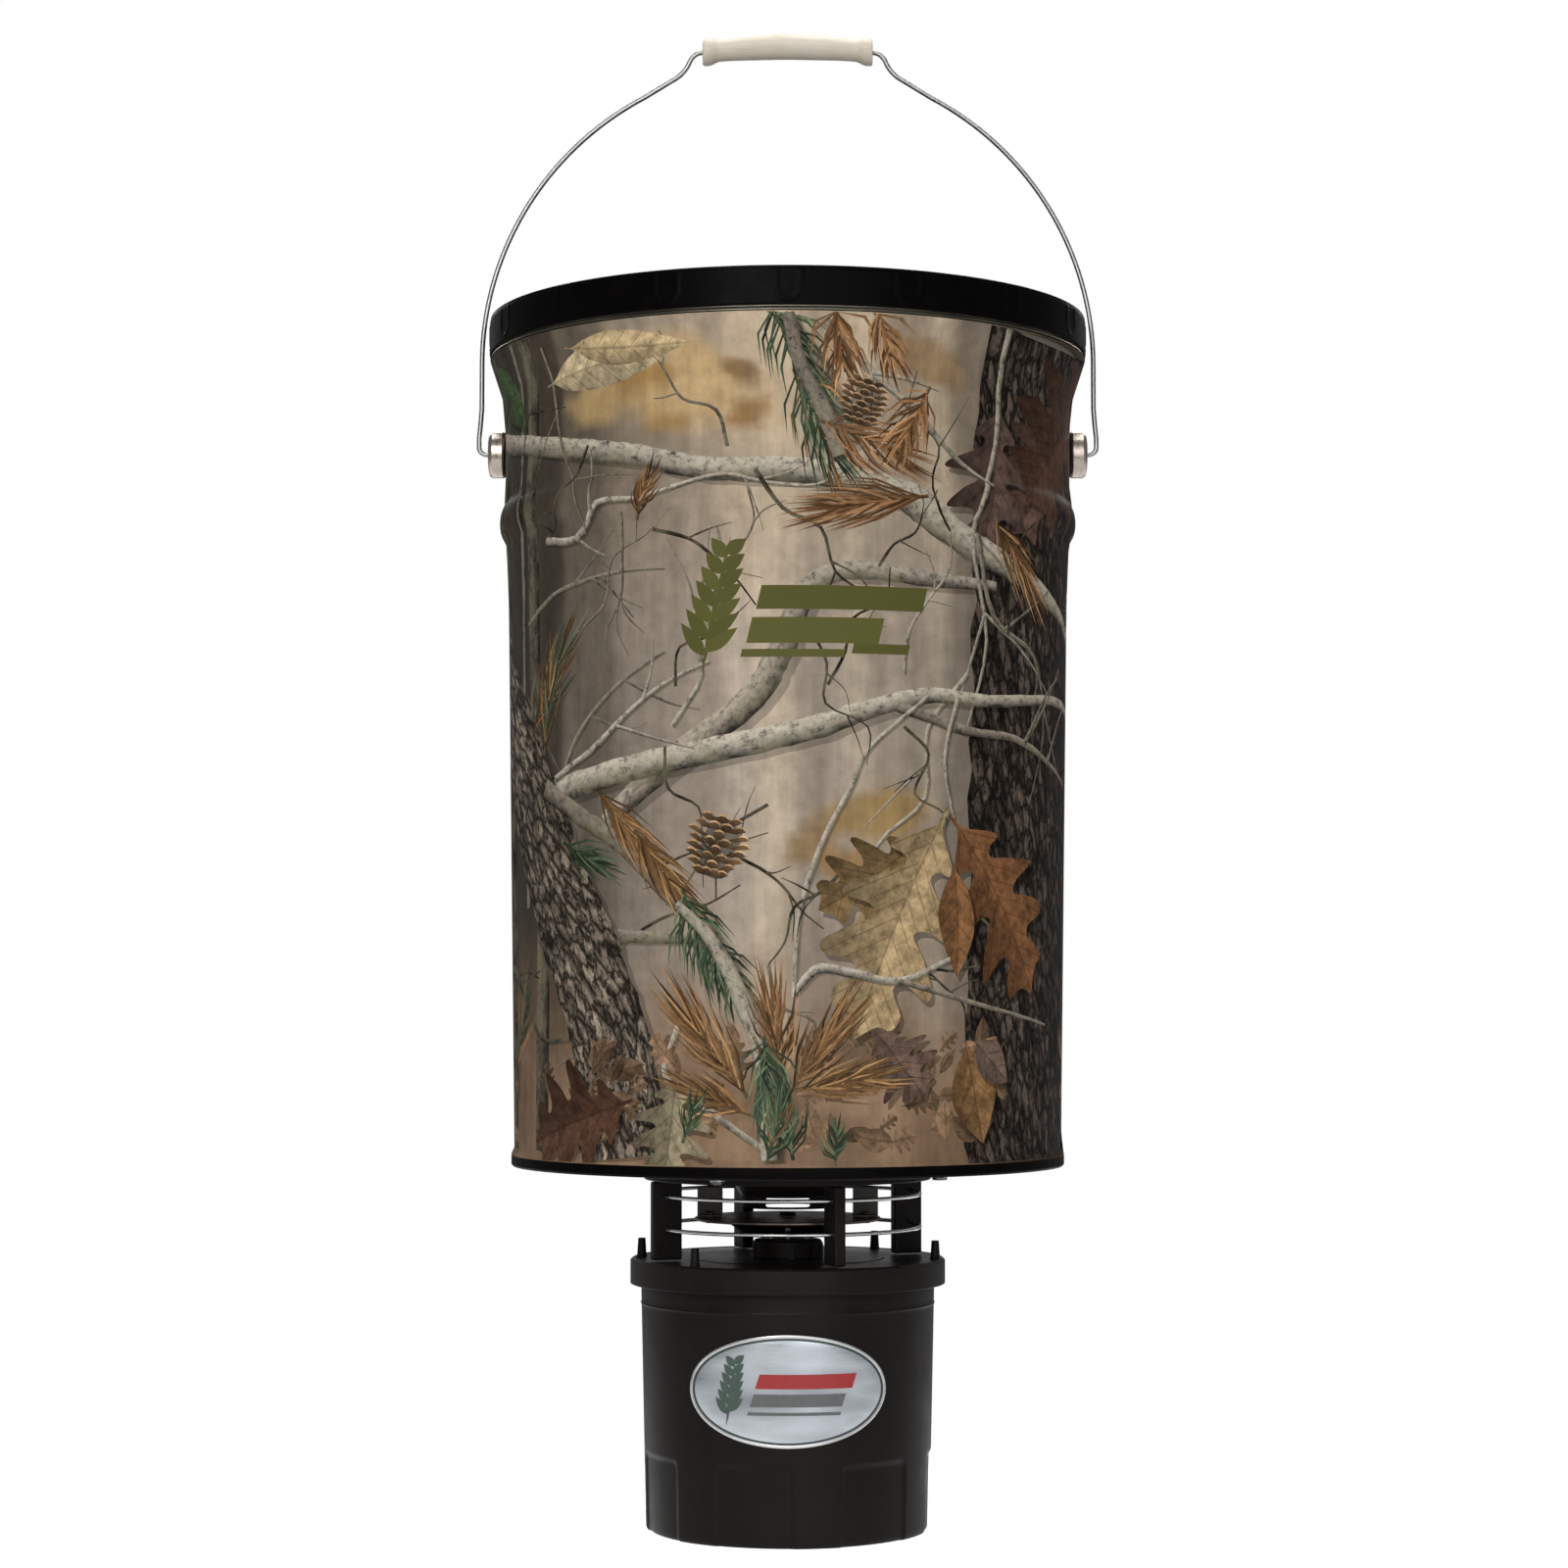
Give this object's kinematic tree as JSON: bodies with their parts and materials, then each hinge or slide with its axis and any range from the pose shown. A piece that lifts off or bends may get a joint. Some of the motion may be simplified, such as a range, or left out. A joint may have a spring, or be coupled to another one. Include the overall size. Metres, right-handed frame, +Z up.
{
  "type": "hanging bucket game feeder",
  "caption": "Hanging steel pail of grain with a lug lid and wire bail, above a funnel, a motor-driven spinner plate and a twist-off canister holding a timer and battery.",
  "frame": {"origin": "centre of the canister's flat underside, the lowest point of the feeder", "axes": "+Z up along the pail's axis, -Y towards the front with the badge, +X to the viewer's right, along the bail's pivot line"},
  "size_m": [0.3384, 0.3248, 0.8094],
  "materials": {
    "printed_steel": "satin woodland print on sheet steel",
    "lid_black": "satin black enamel",
    "ear_metal": "brushed warm nickel",
    "galvanised_wire": "drawn galvanised wire",
    "bright_steel": "bright zinc plate",
    "spinner_metal": "galvanised sheet",
    "copper_rivet": "copper washed",
    "cream_plastic": "moulded satin",
    "black_plastic": "moulded satin",
    "black_rubber": "moulded rubber",
    "badge_silver": "brushed foil plate",
    "battery_blue": "printed wrapper",
    "green_board": "solder mask",
    "display_grey": "liquid-crystal window",
    "button_grey": "moulded rubber",
    "red_insulation": "satin PVC",
    "black_insulation": "satin PVC"
  },
  "bodies": {
    "feeder": {"pail_shell": "printed_steel", "pail_bottom": "printed_steel", "ear_left": "ear_metal", "ear_right": "ear_metal", "mount_flange": "black_plastic", "funnel": "black_plastic", "housing_leg_1": "black_plastic", "housing_leg_2": "black_plastic", "housing_leg_3": "black_plastic", "housing_leg_4": "black_plastic", "guard_ring_lower": "bright_steel", "guard_ring_upper": "bright_steel", "top_plate": "black_plastic", "plate_skirt": "black_plastic", "flange_screw_1": "bright_steel", "flange_screw_2": "bright_steel", "flange_screw_3": "bright_steel", "flange_screw_4": "bright_steel", "flange_nut_1": "bright_steel", "flange_nut_2": "bright_steel", "flange_nut_3": "bright_steel", "flange_nut_4": "bright_steel", "motor_boss": "black_plastic", "motor_can": "bright_steel", "motor_end_cap": "black_plastic", "motor_screw_left": "bright_steel", "motor_screw_right": "bright_steel", "battery_case": "battery_blue", "battery_carrier": "spinner_metal", "battery_spring_left": "bright_steel", "battery_spring_right": "bright_steel", "lead_clip_left": "red_insulation", "lead_clip_right": "black_insulation", "battery_lead_red": "red_insulation", "battery_lead_black": "black_insulation", "motor_lead_red": "red_insulation", "motor_lead_black": "black_insulation", "timer_case": "black_plastic", "timer_display": "display_grey", "circuit_board": "green_board"},
    "bail": {"bail_wire": "galvanised_wire", "bail_grip": "cream_plastic"},
    "lid": {"lid": "lid_black", "lid_gasket": "black_rubber"},
    "spinner": {"motor_shaft": "bright_steel", "spinner_hub": "black_plastic", "hub_set_screw": "bright_steel", "spinner_plate": "spinner_metal", "spinner_fin_left": "spinner_metal", "spinner_fin_right": "spinner_metal", "fin_rivet_left": "copper_rivet", "fin_rivet_right": "copper_rivet", "spinner_nut": "bright_steel"},
    "canister_collar": {"canister_seal": "black_rubber"},
    "canister": {"canister_cup": "black_plastic", "canister_badge": "badge_silver"},
    "button_1": {"timer_button_1": "button_grey"},
    "button_2": {"timer_button_2": "button_grey"},
    "button_3": {"timer_button_3": "button_grey"},
    "button_4": {"timer_button_4": "button_grey"}
  },
  "joints": [
    {"name": "bail_swing", "type": "hinge", "parent": "feeder", "child": "bail", "pos_m": [0, 0, 0.578], "axis": [1, 0, 0], "range_deg": [-130, 130]},
    {"name": "lid_lift", "type": "slide", "parent": "feeder", "child": "lid", "axis": [0, 0, 1], "range_m": [0, 0.005]},
    {"name": "spinner_spin", "type": "hinge", "parent": "feeder", "child": "spinner", "pos_m": [0, 0, 0.16], "axis": [0, 0, 1], "continuous": true},
    {"name": "canister_twist", "type": "hinge", "parent": "feeder", "child": "canister_collar", "pos_m": [0, 0, 0.137], "axis": [0, 0, 1], "range_deg": [0, 30]},
    {"name": "canister_drop", "type": "slide", "parent": "canister_collar", "child": "canister", "axis": [0, 0, -1], "range_m": [0, 0.15]},
    {"name": "button_1_press", "type": "slide", "parent": "feeder", "child": "button_1", "axis": [0, 1, 0], "range_m": [0, 0.0008], "stiffness_N_per_m": 600, "springref_m": -0.0008},
    {"name": "button_2_press", "type": "slide", "parent": "feeder", "child": "button_2", "axis": [0, 1, 0], "range_m": [0, 0.0008], "stiffness_N_per_m": 600, "springref_m": -0.0008},
    {"name": "button_3_press", "type": "slide", "parent": "feeder", "child": "button_3", "axis": [0, 1, 0], "range_m": [0, 0.0008], "stiffness_N_per_m": 600, "springref_m": -0.0008},
    {"name": "button_4_press", "type": "slide", "parent": "feeder", "child": "button_4", "axis": [0, 1, 0], "range_m": [0, 0.0008], "stiffness_N_per_m": 600, "springref_m": -0.0008}
  ]
}
